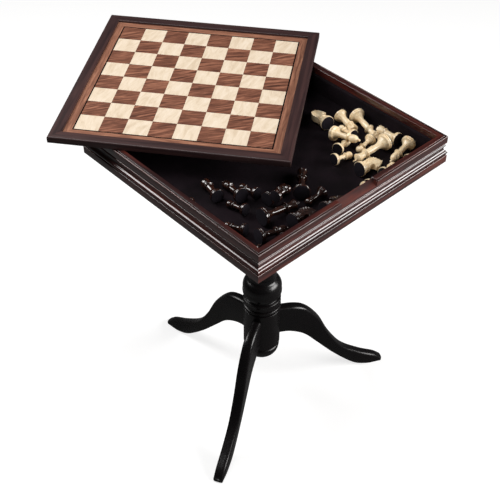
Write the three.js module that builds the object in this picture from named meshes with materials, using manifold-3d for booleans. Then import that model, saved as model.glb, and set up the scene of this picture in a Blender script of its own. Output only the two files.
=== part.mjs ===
// Pedestal gaming table: a square box with a felt-lined tray, a drop-in chess lid lying askew
// on its rim, a turned column on three cabriole legs, and a set of 32 chessmen in the tray.
// Millimetres, +Z up. Everything is laid out from the column's axis and the top of the rim,
// and the whole is shifted at the end so that the origin is the bottom centre of its box.
import * as THREE from 'three';
import { mergeVertices } from 'three/addons/utils/BufferGeometryUtils.js';
import Module from 'manifold-3d';

const wasm = await Module();
wasm.setup();

// ---------------------------------------------------------------- driving dimensions
const SQUARE = 38.1;              // side of one chess square
const RIM_HEIGHT = 590;           // top of the rim above the floor
const BOX_HEIGHT = 49;            // height of the moulded box sides
const OPENING = 186;              // half of the tray's opening
const RIM_HALF = 198;             // half of the box over the top edge
const BASE_HALF = 200;            // half of the box over the lower bead, its widest point
const GAP = 0.3;                  // clearance between neighbours that are cut to each other

const BOTTOM_THICK = 6;           // bottom board, let into a rebate
const REBATE = 6;                 // width of that rebate
const FELT_THICK = 1.5;
const LINER_THICK = 5;            // felt-covered strips that form the lid's ledge
const LEDGE_DEPTH = 11;           // ledge below the rim, equal to the lid's thickness

const NOTCH_HALF = 38;            // half length of the finger notch in the front rail
const NOTCH_INNER_DEPTH = 2;
const NOTCH_OUTER_DEPTH = 9.5;

const LID_HALF = 185;
const LID_THICK = LEDGE_DEPTH;
const LID_RECESS = 4;             // playing surface below the lid's frame
const LID_FRAME_WIDTH = 18;
const LID_TURN = THREE.MathUtils.degToRad(-52.2);
const LID_CENTRE = new THREE.Vector2(-1, 168);
const VENEER = 1.2;
const PANEL_TONGUE = 5;           // how far the panel runs under the lid's frame

const PLATE_HALF = 60;            // block between the box and the column
const PLATE_THICK = 12;
const TENON_RADIUS = 14.7;
const COLUMN_RADIUS = 33;
const COLUMN_BOTTOM = -498;       // lowest point of the column, from the rim
const COLUMN_SIDES = 24;

const LEG_THICK = 19;
const LEG_HEADINGS = { leg_front: 208.5, leg_right: 332, leg_left: 96.5 };
const TOE_REACH = 244;            // toe's distance from the column's axis
const BOLT_RADIUS = 4;
const BOLT_HEIGHT = -420;         // leg bolts, from the rim
const BOLT_INNER = 12;
const BOLT_OUTER = 62;

const FELT_TOP = -BOX_HEIGHT + BOTTOM_THICK + FELT_THICK;
const MAN_SIDES = 10;
const BASE_BAND = 3.5;            // straight band round every chessman's base

// ---------------------------------------------------------------- materials
function material(color, roughness, metalness = 0) {
  return new THREE.MeshStandardMaterial({ color, roughness, metalness });
}

const mahogany = material(0x3f201c, 0.35);
const espresso = material(0x3a2a2b, 0.45);
const walnut = material(0x9a654c, 0.5);
const maple = material(0xdcc3a0, 0.5);
const plywood = material(0xb08a5c, 0.7);
const felt = material(0x141018, 0.95);
const ebony = material(0x141314, 0.3);
const steel = material(0x9a9da0, 0.35, 1);
const boxwood = material(0xe5c496, 0.35);
const rosewood = material(0x2a1713, 0.25);

// ---------------------------------------------------------------- helpers
function toSolid(geometry) {
  const bare = geometry.clone();
  bare.deleteAttribute('normal');
  bare.deleteAttribute('uv');
  const merged = mergeVertices(bare, 1e-4);
  return new wasm.Manifold(new wasm.Mesh({
    numProp: 3,
    vertProperties: new Float32Array(merged.attributes.position.array),
    triVerts: new Uint32Array(merged.index.array),
  }));
}

function toGeometry(solid) {
  const mesh = solid.getMesh();
  const geometry = new THREE.BufferGeometry();
  geometry.setAttribute('position', new THREE.BufferAttribute(mesh.vertProperties, 3));
  geometry.setIndex(new THREE.BufferAttribute(mesh.triVerts, 1));
  geometry.computeVertexNormals();
  return geometry;
}

function cut(geometry, ...tools) {
  let solid = toSolid(geometry);
  for (const tool of tools) solid = solid.subtract(toSolid(tool));
  return toGeometry(solid);
}

function shapeOf(points) {
  return new THREE.Shape(points.map(([x, y]) => new THREE.Vector2(x, y)));
}

// A prism whose outline lies in X and Z and whose thickness is centred on Y.
function upright(shape, thickness, curveSegments = 6) {
  const geometry = new THREE.ExtrudeGeometry(shape, { depth: thickness, bevelEnabled: false, curveSegments });
  geometry.translate(0, 0, -thickness / 2);
  return geometry.rotateX(Math.PI / 2);
}

// A turned solid about Z from [radius, height] pairs that start and end on the axis.
function turned(profile, sides) {
  const points = profile.map(([radius, height]) => new THREE.Vector2(radius, height));
  return new THREE.LatheGeometry(points, sides).rotateX(Math.PI / 2);
}

function box(width, depth, height, x = 0, y = 0, z = 0) {
  return new THREE.BoxGeometry(width, depth, height).translate(x, y, z);
}

function place(parent, name, geometry, look) {
  const mesh = new THREE.Mesh(geometry, look);
  mesh.name = name;
  parent.add(mesh);
  return mesh;
}

// A mitred rail along X on the -Y side of a square frame. The section is a closed list of
// [distance from the frame's centre, height]; both ends are cut at 45 degrees.
function mitredRail(section, endGap = 0) {
  const flat = section.map(([reach, height]) => new THREE.Vector2(reach, height));
  if (THREE.ShapeUtils.isClockWise(flat)) flat.reverse();
  const count = flat.length;
  const positions = [];
  for (const end of [-1, 1]) {
    for (const point of flat) positions.push(end * (point.x - endGap), -point.x, point.y);
  }
  const index = [];
  for (const [a, b, c] of THREE.ShapeUtils.triangulateShape(flat, [])) {
    index.push(a, b, c);
    index.push(a + count, c + count, b + count);
  }
  for (let i = 0; i < count; i += 1) {
    const next = (i + 1) % count;
    index.push(i, i + count, next);
    index.push(next, i + count, next + count);
  }
  const geometry = new THREE.BufferGeometry();
  geometry.setAttribute('position', new THREE.Float32BufferAttribute(positions, 3));
  geometry.setIndex(index);
  geometry.computeVertexNormals();
  return geometry;
}

// Quarter turns are made by swapping coordinates, so that mitres meet exactly.
function quarterTurn(geometry, turns) {
  const turnedCopy = geometry.clone();
  const position = turnedCopy.attributes.position;
  for (let step = 0; step < turns; step += 1) {
    for (let i = 0; i < position.count; i += 1) position.setXY(i, -position.getY(i), position.getX(i));
  }
  turnedCopy.computeVertexNormals();
  return turnedCopy;
}

const SIDES = ['front', 'right', 'back', 'left'];

function fourSides(parent, prefix, geometryOf, look) {
  SIDES.forEach((side, turns) => {
    place(parent, `${prefix}_${side}`, quarterTurn(geometryOf(side), turns), look);
  });
}

// ---------------------------------------------------------------- box and tray
// Outer moulding from the top: eased edge, fascia, cove, bead, quirk and plinth.
function railSection() {
  const cove = [];
  const coveTop = -13;
  const coveBottom = -27.5;
  for (let step = 0; step <= 4; step += 1) {
    const t = step / 4;
    cove.push([RIM_HALF - 2.4 * Math.sin(Math.PI * (0.15 + 0.7 * t)), coveTop + (coveBottom - coveTop) * t]);
  }
  const bead = [];
  for (let step = 0; step <= 4; step += 1) {
    const angle = Math.PI * (0.5 - step / 4);
    bead.push([BASE_HALF - 3 + 3 * Math.cos(angle), -30.8 + 3 * Math.sin(angle)]);
  }
  return [
    [OPENING, 0], [RIM_HALF - 1, 0], [RIM_HALF, -1], [RIM_HALF, -12.5],
    ...cove, ...bead,
    [BASE_HALF - 1, -34.7], [BASE_HALF - 0.2, -35.5], [BASE_HALF - 0.2, -BOX_HEIGHT],
    [OPENING + REBATE, -BOX_HEIGHT], [OPENING + REBATE, -BOX_HEIGHT + BOTTOM_THICK],
    [OPENING, -BOX_HEIGHT + BOTTOM_THICK],
  ];
}

// The finger notch: a wedge that slopes down and outwards across the middle of the rail.
function notchTool() {
  const start = OPENING - 2;
  const end = BASE_HALF + 4;
  const slope = (NOTCH_OUTER_DEPTH - NOTCH_INNER_DEPTH) / (RIM_HALF - OPENING);
  const outline = shapeOf([
    [-start, 4], [-start, -NOTCH_INNER_DEPTH + 2 * slope],
    [-end, -NOTCH_OUTER_DEPTH - (end - RIM_HALF) * slope], [-end, 4],
  ]);
  const geometry = new THREE.ExtrudeGeometry(outline, { depth: 2 * NOTCH_HALF, bevelEnabled: false });
  geometry.translate(0, 0, -NOTCH_HALF);
  // The outline's X becomes Y, its Y becomes Z, and the extrusion runs along X.
  return geometry.applyMatrix4(new THREE.Matrix4().makeBasis(
    new THREE.Vector3(0, 1, 0), new THREE.Vector3(0, 0, 1), new THREE.Vector3(1, 0, 0)));
}

function buildBox(parent) {
  const rail = mitredRail(railSection());
  fourSides(parent, 'rail', (side) => (side === 'front' ? cut(rail, notchTool()) : rail), mahogany);

  const boardHalf = OPENING + REBATE - GAP;
  place(parent, 'tray_bottom',
    box(2 * boardHalf, 2 * boardHalf, BOTTOM_THICK, 0, 0, -BOX_HEIGHT + BOTTOM_THICK / 2), plywood);
  const feltHalf = OPENING - GAP;
  place(parent, 'tray_felt',
    box(2 * feltHalf, 2 * feltHalf, FELT_THICK, 0, 0, FELT_TOP - FELT_THICK / 2), felt);

  const liner = mitredRail([
    [OPENING - LINER_THICK, FELT_TOP], [OPENING - LINER_THICK, -LEDGE_DEPTH - 1],
    [OPENING - LINER_THICK + 1, -LEDGE_DEPTH], [OPENING, -LEDGE_DEPTH], [OPENING, FELT_TOP],
  ]);
  fourSides(parent, 'liner', () => liner, felt);
}

// ---------------------------------------------------------------- lid
function buildLid(parent) {
  const lid = new THREE.Group();
  lid.position.set(LID_CENTRE.x, LID_CENTRE.y, GAP);
  lid.rotation.z = LID_TURN;
  parent.add(lid);

  const inner = LID_HALF - LID_FRAME_WIDTH;
  const surface = LID_THICK - LID_RECESS;
  const panelTop = surface - VENEER;
  const panelHalf = inner + PANEL_TONGUE;
  const frame = mitredRail([
    [LID_HALF, 0.6], [LID_HALF, LID_THICK - 1], [LID_HALF - 1, LID_THICK],
    [inner + 1, LID_THICK], [inner, LID_THICK - 1], [inner, panelTop + GAP],
    [panelHalf + GAP, panelTop + GAP], [panelHalf + GAP, 0], [LID_HALF - 0.6, 0],
  ], GAP / 2);
  fourSides(lid, 'lid_frame', () => frame, espresso);
  place(lid, 'lid_panel', box(2 * panelHalf, 2 * panelHalf, panelTop, 0, 0, panelTop / 2), plywood);

  const field = 4 * SQUARE;
  place(lid, 'chess_field',
    box(2 * field - GAP, 2 * field - GAP, VENEER, 0, 0, panelTop + VENEER / 2), maple);
  const border = mitredRail([
    [field + GAP, panelTop], [field + GAP, surface], [inner - GAP, surface], [inner - GAP, panelTop],
  ], GAP / 2);
  fourSides(lid, 'border', () => border, walnut);
}

// ---------------------------------------------------------------- column and legs
function columnProfile() {
  const top = -BOX_HEIGHT - PLATE_THICK;
  const ball = [];
  for (let step = 0; step <= 6; step += 1) {
    const angle = THREE.MathUtils.degToRad(70 - step * 22);
    ball.push([18 + 16 * Math.cos(angle), -329 + 20 * Math.sin(angle)]);
  }
  const bun = [];
  for (let step = 0; step <= 4; step += 1) {
    const angle = THREE.MathUtils.degToRad(step * 20);
    bun.push([12 + 20 * Math.cos(angle), -474 - 22 * Math.sin(angle)]);
  }
  return [
    [0, top + PLATE_THICK - 1], [TENON_RADIUS, top + PLATE_THICK - 1], [TENON_RADIUS, top],
    [36, top], [37, top - 4], [36, top - 8], [30, top - 10], [30, top - 14], [24, top - 22], [21, top - 34],
    [24, top - 36], [24, top - 42], [20, top - 44],
    [19.5, top - 80], [21, top - 140], [23.5, top - 200], [24.5, -298],
    ...ball,
    [31.5, -349.5], [33.3, -353], [33.3, -361], [32, -364.5], [33.3, -368], [33.3, -372],
    [32, -375], [COLUMN_RADIUS, -379], [COLUMN_RADIUS, -463], [31, -465], [32, -468],
    ...bun,
    [0, COLUMN_BOTTOM],
  ].reverse();
}

function boltAlongX(radius, from, to) {
  const rod = new THREE.CylinderGeometry(radius, radius, to - from, 12);
  return rod.rotateZ(Math.PI / 2).translate((from + to) / 2, 0, BOLT_HEIGHT);
}

// Side outline of a leg: distance from the column's axis and height from the rim.
const LEG_TOP = [[26, -390], [60, -393], [84, -405], [109, -437], [130, -482], [158, -524], [197, -553], [230, -571]];
const LEG_UNDER = [[214, -590], [184, -578], [142, -539], [105, -496], [80, -468], [52, -453], [26, -450]];
const TOE = [[243, -584], [241, -590]];

function legGeometry() {
  const toPoints = (pairs) => pairs.map(([x, y]) => new THREE.Vector2(x, y));
  const shape = new THREE.Shape();
  shape.moveTo(...LEG_TOP[0]);
  shape.splineThru(toPoints(LEG_TOP.slice(1)));
  for (const point of TOE) shape.lineTo(...point);
  shape.lineTo(...LEG_UNDER[0]);
  shape.splineThru(toPoints(LEG_UNDER.slice(1)));
  const board = upright(shape, LEG_THICK, 3);

  // In plan the board keeps its full thickness to the ankle and then narrows to the toe.
  const half = LEG_THICK / 2 + 1;
  const plan = new THREE.ExtrudeGeometry(
    shapeOf([[0, -half], [196, -half], [222, -9], [238, -8], [TOE_REACH, -5.5],
      [TOE_REACH, 5.5], [238, 8], [222, 9], [196, half], [0, half]]),
    { depth: 240, bevelEnabled: false });
  plan.translate(0, 0, -RIM_HEIGHT - 10);
  const socketRadius = (COLUMN_RADIUS + GAP) / Math.cos(Math.PI / COLUMN_SIDES);
  const socket = new THREE.CylinderGeometry(socketRadius, socketRadius, 200, COLUMN_SIDES);
  socket.rotateX(Math.PI / 2).translate(0, 0, BOLT_HEIGHT);
  const hole = boltAlongX(BOLT_RADIUS + GAP, 0, BOLT_OUTER + 1);
  const solid = toSolid(board).intersect(toSolid(plan)).subtract(toSolid(socket)).subtract(toSolid(hole));
  return toGeometry(solid);
}

function buildPedestal(parent) {
  const top = -BOX_HEIGHT - PLATE_THICK;
  const plate = box(2 * PLATE_HALF, 2 * PLATE_HALF, PLATE_THICK, 0, 0, top + PLATE_THICK / 2);
  const mortise = new THREE.CylinderGeometry(TENON_RADIUS + GAP, TENON_RADIUS + GAP, 40, COLUMN_SIDES);
  mortise.rotateX(Math.PI / 2).translate(0, 0, top);
  place(parent, 'top_plate', cut(plate, mortise), ebony);

  const holes = Object.values(LEG_HEADINGS).map((heading) =>
    boltAlongX(BOLT_RADIUS + GAP, BOLT_INNER - 1, 60).rotateZ(THREE.MathUtils.degToRad(heading)));
  place(parent, 'column', cut(turned(columnProfile(), COLUMN_SIDES), ...holes), ebony);

  const leg = legGeometry();
  const bolt = boltAlongX(BOLT_RADIUS, BOLT_INNER, BOLT_OUTER);
  for (const [name, heading] of Object.entries(LEG_HEADINGS)) {
    const arm = new THREE.Group();
    arm.rotation.z = THREE.MathUtils.degToRad(heading);
    parent.add(arm);
    place(arm, name, leg, ebony);
    place(arm, name.replace('leg', 'leg_bolt'), bolt, steel);
  }
}

// ---------------------------------------------------------------- chessmen
// Profiles are [radius, height] from the centre of the base to the top.
const MEN = {
  pawn: [[0, 0], [9.5, 0], [9.5, BASE_BAND], [6.4, 7], [3.6, 16], [3.4, 21], [5.4, 22.5], [5.4, 24],
    [3.4, 25], [5.9, 28.6], [5.5, 33], [3, 35.5], [0, 36]],
  rook: [[0, 0], [11, 0], [11, BASE_BAND], [7.6, 8], [5.6, 20], [5.8, 27], [7.8, 30], [7.8, 42],
    [5, 42], [5, 39], [0, 39]],
  bishop: [[0, 0], [12, 0], [12, BASE_BAND], [8, 8], [4.6, 20], [4, 29], [6.8, 31], [6.8, 33],
    [4, 35], [6.2, 41], [5.6, 46], [2.2, 50.5], [2, 53], [0, 54]],
  queen: [[0, 0], [13, 0], [13, BASE_BAND], [8.8, 9], [5, 25], [4.4, 37], [7.4, 39], [7.4, 41],
    [4.6, 43], [5.4, 50], [7.8, 57], [5, 59.5], [2.2, 62], [0, 63]],
  king: [[0, 0], [13.6, 0], [13.6, BASE_BAND], [9.2, 10], [5.4, 28], [4.8, 41], [8, 43], [8, 45.5],
    [5, 47.5], [5.6, 53], [8, 60], [5.2, 63], [2.4, 64.5], [2.4, 69], [0, 70]],
  knight: [[0, 0], [12, 0], [12, BASE_BAND], [8.4, 8], [7.2, 12], [8.6, 14], [8.6, 16], [0, 16]],
};
const KNIGHT_HEIGHT = 48;
const KNIGHT_CHEEK = 5.8;         // half thickness of the knight's head
const KNIGHT_HEAD = [[-7, 15], [7, 15], [4.5, 22], [6.5, 27], [12.5, 26], [14, 31], [8.5, 40], [5.5, 44],
  [4.5, KNIGHT_HEIGHT], [1, 45], [-6, 41], [-10, 32], [-9.5, 22]];

function manGeometry(kind) {
  const body = turned(MEN[kind], MAN_SIDES);
  if (kind !== 'knight') return body;
  const head = upright(shapeOf(KNIGHT_HEAD), 2 * KNIGHT_CHEEK);
  return toGeometry(toSolid(body).add(toSolid(head)));
}

// A man on its side touches the felt with the band of its base and with one ring further up.
// This is how far the axis dips from level towards the head.
function lyingDip(kind) {
  const base = MEN[kind][1][0];
  const rings = MEN[kind].filter(([, height]) => height > BASE_BAND);
  if (kind === 'knight') rings.push([KNIGHT_CHEEK, KNIGHT_HEIGHT]);
  return Math.min(...rings.map(([radius, height]) => Math.atan2(base - radius, height - BASE_BAND)));
}

// x and y place the base's centre, heading is the way the head points in plan, tip is an extra
// dip of the head in degrees, and lift raises a man that lies on others.
function layMan(parent, name, [kind, x, y, heading, lift = 0, tip = 0, roll = 0]) {
  const base = MEN[kind][1][0];
  const dip = lyingDip(kind) + THREE.MathUtils.degToRad(tip);
  const turn = THREE.MathUtils.degToRad(heading);
  const axis = new THREE.Vector3(Math.cos(turn) * Math.cos(dip), Math.sin(turn) * Math.cos(dip), -Math.sin(dip));
  const across = new THREE.Vector3(Math.sin(turn), -Math.cos(turn), 0);
  const up = new THREE.Vector3().crossVectors(axis, across);
  const mesh = place(parent, name, manGeometry(kind), name.startsWith('light') ? boxwood : rosewood);
  const pose = new THREE.Matrix4().makeBasis(across, up, axis);
  pose.multiply(new THREE.Matrix4().makeRotationZ(THREE.MathUtils.degToRad(roll)));
  const band = dip > 0 ? BASE_BAND * Math.sin(dip) : 0;
  pose.setPosition(x, y, FELT_TOP + GAP + lift + base * Math.cos(dip) + band);
  mesh.applyMatrix4(pose);
}

const LIGHT_MEN = {
  knight_1: ['knight', 117, -24, 76],
  rook_1: ['rook', 150, -19, -104],
  queen: ['queen', 167.5, -38, -105],
  pawn_1: ['pawn', 126.5, -72, 84],
  bishop_1: ['bishop', 105, -46, -84, 0, -20],
  pawn_2: ['pawn', 81, -79, 13],
  pawn_5: ['pawn', 141, -96, 185],
  rook_2: ['rook', 168, -128, 88],
  king: ['king', 149, -119, 176],
  pawn_3: ['pawn', 58, -93, -10],
  knight_2: ['knight', 66, -138, -3],
  pawn_4: ['pawn', 88, -167, 12],
  bishop_2: ['bishop', 176, -144, 188],
  pawn_6: ['pawn', 140, -171, 0],
  pawn_7: ['pawn', 50, -171, 0],
  pawn_8: ['pawn', 47, -171, 180],
};
const DARK_MEN = {
  rook_1: ['rook', -132, -41, 76],
  bishop_1: ['bishop', -106, -65, 82],
  pawn_1: ['pawn', -83, -74, 96],
  rook_2: ['rook', -84, -94, 5],
  pawn_2: ['pawn', -121, -90, 100],
  king: ['king', -119, -120, -6],
  pawn_3: ['pawn', -150, -122, 110],
  bishop_2: ['bishop', -150, -146, -10],
  queen: ['queen', -38, -120, 44],
  pawn_4: ['pawn', -8, -136, 177],
  knight_1: ['knight', -92, -155, 3],
  pawn_5: ['pawn', -165, -168, 100],
  pawn_6: ['pawn', -126, -171, 0],
  pawn_7: ['pawn', -84, -111, 8, 17],
  pawn_8: ['pawn', -171, -20, -90],
  knight_2: ['knight', -40, -168, 3, 0, 0, 180],
};

function buildMen(parent) {
  for (const [name, pose] of Object.entries(LIGHT_MEN)) layMan(parent, `light_${name}`, pose);
  for (const [name, pose] of Object.entries(DARK_MEN)) layMan(parent, `dark_${name}`, pose);
}

// ---------------------------------------------------------------- assembly
const table = new THREE.Group();
buildBox(table);
buildLid(table);
buildPedestal(table);
buildMen(table);

const extent = new THREE.Box3().setFromObject(table, true);
table.position.set(-(extent.min.x + extent.max.x) / 2, -(extent.min.y + extent.max.y) / 2, -extent.min.z);

export default table;
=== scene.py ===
"""Looks for a pedestal gaming table: a moulded mahogany box with a felt-lined tray, a chess lid
lying askew on its rim, a turned column on three cabriole legs, and 32 chessmen in the tray.

Pieces are drawn in millimetres about the table's own centre, which is where the column's axis
meets the level of the rim's top, and are then placed in the frame, which is in metres.
"""
import math
import random

import bmesh
import bpy
from mathutils import Matrix, Vector, noise


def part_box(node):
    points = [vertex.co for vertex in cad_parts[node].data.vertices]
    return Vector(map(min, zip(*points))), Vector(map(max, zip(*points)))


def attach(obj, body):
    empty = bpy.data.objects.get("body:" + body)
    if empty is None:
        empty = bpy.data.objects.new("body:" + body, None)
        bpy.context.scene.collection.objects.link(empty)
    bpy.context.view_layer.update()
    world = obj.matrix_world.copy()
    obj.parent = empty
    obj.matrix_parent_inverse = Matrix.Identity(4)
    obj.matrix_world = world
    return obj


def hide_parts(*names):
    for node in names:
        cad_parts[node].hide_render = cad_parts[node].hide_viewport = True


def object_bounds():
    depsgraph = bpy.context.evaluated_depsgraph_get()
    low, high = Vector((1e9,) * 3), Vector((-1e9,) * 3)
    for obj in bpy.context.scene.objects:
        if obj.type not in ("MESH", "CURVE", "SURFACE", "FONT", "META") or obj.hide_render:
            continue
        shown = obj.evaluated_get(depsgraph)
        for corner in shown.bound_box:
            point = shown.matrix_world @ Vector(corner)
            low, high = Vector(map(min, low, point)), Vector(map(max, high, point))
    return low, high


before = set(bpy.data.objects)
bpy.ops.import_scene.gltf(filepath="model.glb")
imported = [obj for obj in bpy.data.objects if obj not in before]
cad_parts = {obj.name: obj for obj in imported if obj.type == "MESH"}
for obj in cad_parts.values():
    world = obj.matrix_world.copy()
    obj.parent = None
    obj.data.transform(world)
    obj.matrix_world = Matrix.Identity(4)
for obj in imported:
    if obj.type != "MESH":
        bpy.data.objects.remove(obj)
cad_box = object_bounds()

MM = 0.001
SIDES = ("front", "right", "back", "left")
CLEARANCE = 0.3                   # between pieces that are cut to each other

# ---------------------------------------------------------------- places taken from the frame
column_low, column_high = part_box("column")
rail_low, rail_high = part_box("rail_front")
CENTRE = Vector(((column_low.x + column_high.x) / 2, (column_low.y + column_high.y) / 2, rail_high.z))


def table_mm(point):
    """A point of the frame, in millimetres from the table's centre."""
    return (point - CENTRE) / MM


BASE_HALF = table_mm(rail_high).x
BOX_BOTTOM = table_mm(rail_low).z
OPENING = -table_mm(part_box("liner_front")[0]).y
LINER_INNER = -table_mm(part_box("liner_front")[1]).y
LEDGE = table_mm(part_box("liner_front")[1]).z
FELT_TOP = table_mm(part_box("tray_felt")[1]).z
FELT_HALF = table_mm(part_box("tray_felt")[1]).x
BOARD_TOP = table_mm(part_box("tray_bottom")[1]).z
BOARD_HALF = table_mm(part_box("tray_bottom")[1]).x
PLATE_HALF = table_mm(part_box("top_plate")[1]).x
PLATE_BOTTOM = table_mm(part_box("top_plate")[0]).z
FLOOR = -CENTRE.z / MM
COLUMN_BOTTOM = table_mm(column_low).z
RIM_HALF = BASE_HALF - 2.0
NOTCH_HALF = 38.0                 # half length of the finger notch in the front rail
NOTCH_INNER_DEPTH = 2.0
NOTCH_OUTER_DEPTH = 9.5
NOTCH_ROUND = 3.0                 # length over which each end of the notch comes up
NOTCH_LEAD = 0.15                 # share of that length beyond the notch's half length

TABLE = Matrix.Translation(CENTRE)


def lid_placement():
    """Where the lid lies: the panel's own square gives its centre and its turn."""
    low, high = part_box("lid_panel")
    corners = [vertex.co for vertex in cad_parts["lid_panel"].data.vertices]
    far_left = max(corners, key=lambda corner: corner.y)
    far_right = max(corners, key=lambda corner: corner.x)
    turn = math.atan2(far_right.y - far_left.y, far_right.x - far_left.x)
    centre = Vector(((low.x + high.x) / 2, (low.y + high.y) / 2, low.z))
    side = math.hypot(far_right.x - far_left.x, far_right.y - far_left.y) / MM
    return Matrix.Translation(centre) @ Matrix.Rotation(turn, 4, "Z"), side / 2


LID, PANEL_HALF = lid_placement()
LID_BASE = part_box("lid_panel")[0].z
LID_THICK = (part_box("lid_frame_front")[1].z - LID_BASE) / MM
SURFACE = (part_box("chess_field")[1].z - LID_BASE) / MM
PANEL_TOP = (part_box("lid_panel")[1].z - LID_BASE) / MM
SQUARE = 38.1                     # side of one chess square
FIELD = 4 * SQUARE                # half of the chess field
LID_HALF = 185.0
LID_INNER = 167.0                 # half of the opening inside the lid's frame


# ---------------------------------------------------------------- outlines
def arc(start, end, bulge, step=14.0):
    """Points after start, up to end, on an arc whose rise is bulge times its chord.
    A positive bulge swells to the right-hand side of the way from start to end."""
    x0, y0 = start
    x1, y1 = end
    chord = math.hypot(x1 - x0, y1 - y0)
    if abs(bulge) < 1e-4 or chord < 1e-6:
        return [end]
    angle = 4 * math.atan(2 * abs(bulge))
    radius = chord / (2 * math.sin(angle / 2))
    along = ((x1 - x0) / chord, (y1 - y0) / chord)
    side = math.copysign(1, bulge)
    out = (along[1] * side, -along[0] * side)
    drop = radius * math.cos(angle / 2)
    middle = ((x0 + x1) / 2 - out[0] * drop, (y0 + y1) / 2 - out[1] * drop)
    count = max(2, math.ceil(math.degrees(angle) / step))
    points = []
    for i in range(1, count + 1):
        phi = -angle / 2 + angle * i / count
        points.append(tuple(
            middle[k] + radius * (along[k] * math.sin(phi) + out[k] * math.cos(phi)) for k in (0, 1)))
    return points


def outline(corners, step=14.0):
    """A line through (x, y) or (x, y, bulge) corners; bulge bends the stretch that ends there."""
    points = [tuple(corners[0][:2])]
    for corner in corners[1:]:
        bulge = corner[2] if len(corner) > 2 else 0.0
        points += arc(points[-1], corner[:2], bulge, step)
    return points


def spline(controls, count):
    """Points spaced evenly by length on a smooth curve through the controls."""
    ends = [controls[0], *controls, controls[-1]]
    fine = []
    for a, b, c, d in zip(ends, ends[1:], ends[2:], ends[3:]):
        for i in range(24):
            t = i / 24
            fine.append(tuple(
                0.5 * (2 * b[k] + (c[k] - a[k]) * t + (2 * a[k] - 5 * b[k] + 4 * c[k] - d[k]) * t ** 2
                       + (3 * b[k] - a[k] - 3 * c[k] + d[k]) * t ** 3) for k in (0, 1)))
    fine.append(tuple(controls[-1]))
    return resampled(fine, count)


def resampled(points, count):
    """Points spaced evenly by length along a line of straight stretches."""
    lengths = [0.0]
    for a, b in zip(points, points[1:]):
        lengths.append(lengths[-1] + math.dist(a, b))
    result, index = [], 0
    for i in range(count):
        target = lengths[-1] * i / (count - 1)
        while index < len(points) - 2 and lengths[index + 1] < target:
            index += 1
        share = (target - lengths[index]) / max(lengths[index + 1] - lengths[index], 1e-9)
        a, b = points[index], points[index + 1]
        result.append(tuple(a[k] + (b[k] - a[k]) * share for k in (0, 1)))
    return result


def smooth(value):
    """A soft step from 0 to 1 as value goes from 0 to 1."""
    value = min(1.0, max(0.0, value))
    return value * value * (3 - 2 * value)


# ---------------------------------------------------------------- meshes, in millimetres
def mesh_of(name, vertices, faces, metres=False):
    """A mesh with its faces turned outwards."""
    scale = 1.0 if metres else MM
    mesh = bpy.data.meshes.new(name)
    mesh.from_pydata([[c * scale for c in vertex] for vertex in vertices], [], faces)
    shell = bmesh.new()
    shell.from_mesh(mesh)
    bmesh.ops.recalc_face_normals(shell, faces=shell.faces)
    shell.to_mesh(mesh)
    shell.free()
    return mesh


def lofted(name, rings, closed=False):
    """A skin over rings of equal length, with flat ends unless the row of rings is closed."""
    count = len(rings[0])
    vertices = [point for ring in rings for point in ring]
    faces = []
    for a in range(len(rings) if closed else len(rings) - 1):
        b = (a + 1) % len(rings)
        for i in range(count):
            j = (i + 1) % count
            faces.append((a * count + i, a * count + j, b * count + j, b * count + i))
    if not closed:
        faces.append(tuple(range(count)))
        faces.append(tuple(range((len(rings) - 1) * count, len(rings) * count)))
    return mesh_of(name, vertices, faces)


def turned(name, profile, segments=48, step=14.0):
    """A turned solid from a profile that starts and ends on the axis."""
    vertices, rings = [], []
    for radius, height in outline(profile, step):
        size = 1 if radius < 1e-6 else segments
        rings.append([len(vertices) + i for i in range(size)])
        for i in range(size):
            angle = math.tau * i / segments
            vertices.append((radius * math.cos(angle), radius * math.sin(angle), height))
    faces = []
    for lower, upper in zip(rings, rings[1:]):
        for i in range(segments):
            j = (i + 1) % segments
            face = [lower[i % len(lower)], lower[j % len(lower)],
                    upper[j % len(upper)], upper[i % len(upper)]]
            faces.append(tuple(dict.fromkeys(face)))
    return mesh_of(name, vertices, faces)


def mitred_rail(name, section, gap=0.05, stations=(), reshape=None):
    """A rail along X on the -Y side of a square frame, from a closed section of (reach, height).
    reshape(reach, height, x) may move a point of the stations between the mitred ends."""
    rings = [[(gap - reach, -reach, height) for reach, height in section]]
    for x in stations:
        ring = []
        for reach, height in section:
            new_reach, new_height = reshape(reach, height, x) if reshape else (reach, height)
            ring.append((x, -new_reach, new_height))
        rings.append(ring)
    rings.append([(reach - gap, -reach, height) for reach, height in section])
    return lofted(name, rings)


def square_ring(name, section):
    """A closed square frame with mitred corners."""
    rings = []
    for x, y in ((-1, -1), (1, -1), (1, 1), (-1, 1)):
        rings.append([(x * reach, y * reach, height) for reach, height in section])
    return lofted(name, rings, closed=True)


def finished_mesh(name, shell):
    """A mesh from a bmesh that is used up."""
    mesh = bpy.data.meshes.new(name)
    shell.to_mesh(mesh)
    shell.free()
    return mesh


def slab(name, half, bottom, top, bevel):
    """A square board with its edges eased."""
    shell = bmesh.new()
    bmesh.ops.create_cube(shell, size=2.0)
    for vertex in shell.verts:
        x, y, z = vertex.co
        vertex.co = Vector((x * half, y * half, top if z > 0 else bottom)) * MM
    bmesh.ops.bevel(shell, geom=shell.edges[:], offset=bevel * MM, segments=3, profile=0.5,
                    affect="EDGES")
    return finished_mesh(name, shell)


def modified(mesh, *modifiers):
    """The mesh after modifiers, each (type, settings)."""
    holder = bpy.data.objects.new("holder", mesh)
    bpy.context.scene.collection.objects.link(holder)
    for kind, settings in modifiers:
        modifier = holder.modifiers.new(kind, kind)
        for key, value in settings.items():
            setattr(modifier, key, value)
    depsgraph = bpy.context.evaluated_depsgraph_get()
    result = bpy.data.meshes.new_from_object(holder.evaluated_get(depsgraph), depsgraph=depsgraph)
    bpy.data.objects.remove(holder)
    return result


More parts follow.
